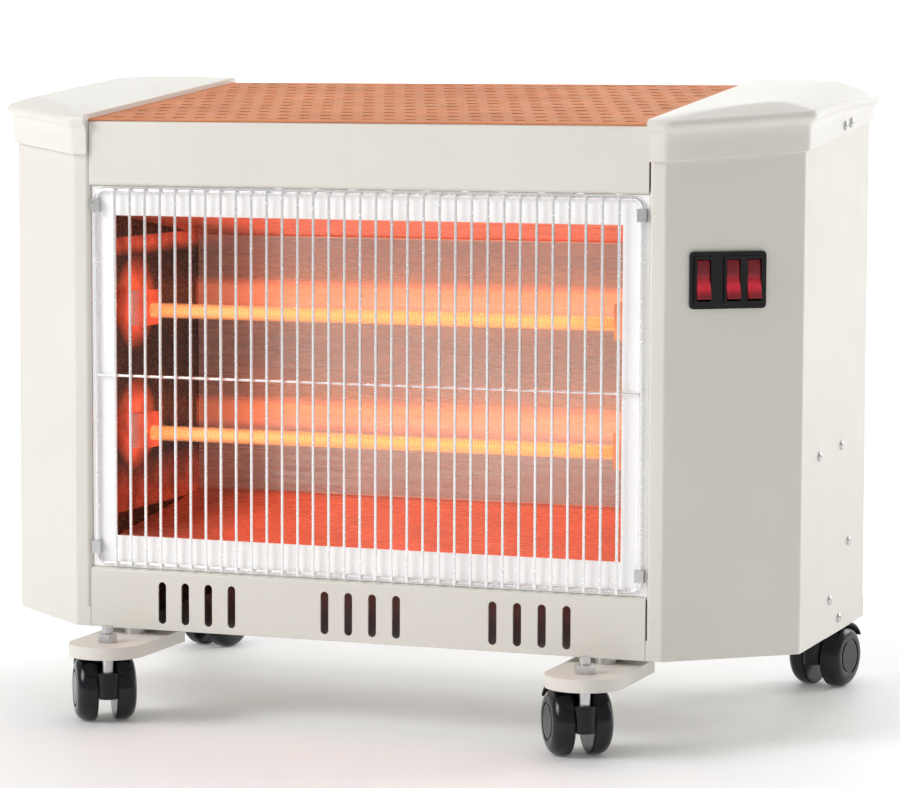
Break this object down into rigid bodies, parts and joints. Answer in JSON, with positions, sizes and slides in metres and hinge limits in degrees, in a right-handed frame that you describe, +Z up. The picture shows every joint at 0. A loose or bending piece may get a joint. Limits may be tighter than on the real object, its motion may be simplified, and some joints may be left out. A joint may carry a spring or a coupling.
{
  "type": "quartz tube radiant heater",
  "caption": "Free-standing electric radiant heater: glowing quartz tubes behind a wire guard, cream sheet-metal case with slanted ends, rocker switches, twin-wheel casters.",
  "frame": {"origin": "on the floor, under the middle of the whole object's bounding box", "axes": "+X to the right as seen from the front, +Y to the back, +Z up; the front faces -Y"},
  "size_m": [0.6326, 0.4102, 0.4715],
  "materials": {
    "cream_paint": "smooth satin cream powder coat",
    "cream_plastic": "moulded cream plastic, satin",
    "warm_grille": "perforated sheet with a copper-orange sheen",
    "chrome_wire": "bright plated wire",
    "zinc": "zinc-plated steel",
    "bright_metal": "bright rolled aluminium",
    "quartz": "clear quartz",
    "hot_coil": "glowing resistance wire",
    "porcelain": "unglazed porcelain",
    "brass": "plain brass",
    "black_plastic": "moulded black plastic",
    "lit_red": "translucent red, lit from inside",
    "lead_sleeve": "braided glass-fibre sleeve",
    "black_rubber": "smooth black rubber",
    "wheel_plastic": "smooth black nylon with a soft shine"
  },
  "bodies": {
    "case": {"base_plate": "cream_paint", "lower_fascia": "cream_paint", "upper_fascia": "cream_paint", "left_end_panel": "cream_paint", "right_end_panel": "cream_paint", "left_cap": "cream_plastic", "right_cap": "cream_plastic", "rear_panel": "cream_paint", "top_grille": "warm_grille", "front_guard": "chrome_wire", "guard_clips": "zinc", "cavity_frame": "bright_metal", "reflector": "bright_metal", "left_end_plate": "bright_metal", "right_end_plate": "bright_metal", "top_reflector": "bright_metal", "upper_tube": "quartz", "lower_tube": "quartz", "top_tube": "quartz", "upper_coil": "hot_coil", "lower_coil": "hot_coil", "top_coil": "hot_coil", "tube_holders": "porcelain", "tube_terminals": "brass", "switch_bezel": "black_plastic", "single_switch_body": "black_plastic", "double_switch_body": "black_plastic", "switch_terminals": "brass", "terminal_block": "porcelain", "thermal_cutout": "black_plastic", "lead_wires": "lead_sleeve", "cord_grommet": "black_rubber", "front_left_bracket": "cream_paint", "front_right_bracket": "cream_paint", "rear_left_bracket": "cream_paint", "rear_right_bracket": "cream_paint", "foot_spacers": "zinc", "caster_stems": "zinc", "panel_screws": "zinc", "foot_screws": "zinc", "nuts": "zinc"},
    "rocker_1": {"rocker_1": "lit_red"},
    "rocker_2": {"rocker_2": "lit_red"},
    "rocker_3": {"rocker_3": "lit_red"},
    "front_left_caster": {"front_left_hood": "black_plastic", "front_left_axle": "zinc"},
    "front_left_wheel_a": {"front_left_wheel_a": "wheel_plastic"},
    "front_left_wheel_b": {"front_left_wheel_b": "wheel_plastic"},
    "front_right_caster": {"front_right_hood": "black_plastic", "front_right_axle": "zinc"},
    "front_right_wheel_a": {"front_right_wheel_a": "wheel_plastic"},
    "front_right_wheel_b": {"front_right_wheel_b": "wheel_plastic"},
    "rear_left_caster": {"rear_left_hood": "black_plastic", "rear_left_axle": "zinc"},
    "rear_left_wheel_a": {"rear_left_wheel_a": "wheel_plastic"},
    "rear_left_wheel_b": {"rear_left_wheel_b": "wheel_plastic"},
    "rear_right_caster": {"rear_right_hood": "black_plastic", "rear_right_axle": "zinc"},
    "rear_right_wheel_a": {"rear_right_wheel_a": "wheel_plastic"},
    "rear_right_wheel_b": {"rear_right_wheel_b": "wheel_plastic"}
  },
  "joints": [
    {"name": "rocker_1_press", "type": "hinge", "parent": "case", "child": "rocker_1", "pos_m": [0.24765, -0.12004, 0.332], "axis": [0.7633, 0.6461, 0], "range_deg": [0, 16]},
    {"name": "rocker_2_press", "type": "hinge", "parent": "case", "child": "rocker_2", "pos_m": [0.26491, -0.10544, 0.332], "axis": [0.7633, 0.6461, 0], "range_deg": [0, 16]},
    {"name": "rocker_3_press", "type": "hinge", "parent": "case", "child": "rocker_3", "pos_m": [0.27712, -0.09511, 0.332], "axis": [0.7633, 0.6461, 0], "range_deg": [0, 16]},
    {"name": "front_left_swivel", "type": "hinge", "parent": "case", "child": "front_left_caster", "pos_m": [-0.183, -0.17709, 0.032], "axis": [0, 0, 1], "continuous": true},
    {"name": "front_left_wheel_a_roll", "type": "hinge", "parent": "front_left_caster", "child": "front_left_wheel_a", "pos_m": [-0.19389, -0.16032, 0.024], "axis": [0.8387, 0.5446, 0], "continuous": true},
    {"name": "front_left_wheel_b_roll", "type": "hinge", "parent": "front_left_caster", "child": "front_left_wheel_b", "pos_m": [-0.19389, -0.16032, 0.024], "axis": [0.8387, 0.5446, 0], "continuous": true},
    {"name": "front_right_swivel", "type": "hinge", "parent": "case", "child": "front_right_caster", "pos_m": [0.183, -0.17709, 0.032], "axis": [0, 0, 1], "continuous": true},
    {"name": "front_right_wheel_a_roll", "type": "hinge", "parent": "front_right_caster", "child": "front_right_wheel_a", "pos_m": [0.17211, -0.16032, 0.024], "axis": [0.8387, 0.5446, 0], "continuous": true},
    {"name": "front_right_wheel_b_roll", "type": "hinge", "parent": "front_right_caster", "child": "front_right_wheel_b", "pos_m": [0.17211, -0.16032, 0.024], "axis": [0.8387, 0.5446, 0], "continuous": true},
    {"name": "rear_left_swivel", "type": "hinge", "parent": "case", "child": "rear_left_caster", "pos_m": [-0.26, 0.15891, 0.032], "axis": [0, 0, 1], "continuous": true},
    {"name": "rear_left_wheel_a_roll", "type": "hinge", "parent": "rear_left_caster", "child": "rear_left_wheel_a", "pos_m": [-0.2555, 0.1784, 0.024], "axis": [0.9744, -0.225, 0], "continuous": true},
    {"name": "rear_left_wheel_b_roll", "type": "hinge", "parent": "rear_left_caster", "child": "rear_left_wheel_b", "pos_m": [-0.2555, 0.1784, 0.024], "axis": [0.9744, -0.225, 0], "continuous": true},
    {"name": "rear_right_swivel", "type": "hinge", "parent": "case", "child": "rear_right_caster", "pos_m": [0.26, 0.15891, 0.032], "axis": [0, 0, 1], "continuous": true},
    {"name": "rear_right_wheel_a_roll", "type": "hinge", "parent": "rear_right_caster", "child": "rear_right_wheel_a", "pos_m": [0.2645, 0.1784, 0.024], "axis": [0.9744, -0.225, 0], "continuous": true},
    {"name": "rear_right_wheel_b_roll", "type": "hinge", "parent": "rear_right_caster", "child": "rear_right_wheel_b", "pos_m": [0.2645, 0.1784, 0.024], "axis": [0.9744, -0.225, 0], "continuous": true}
  ]
}
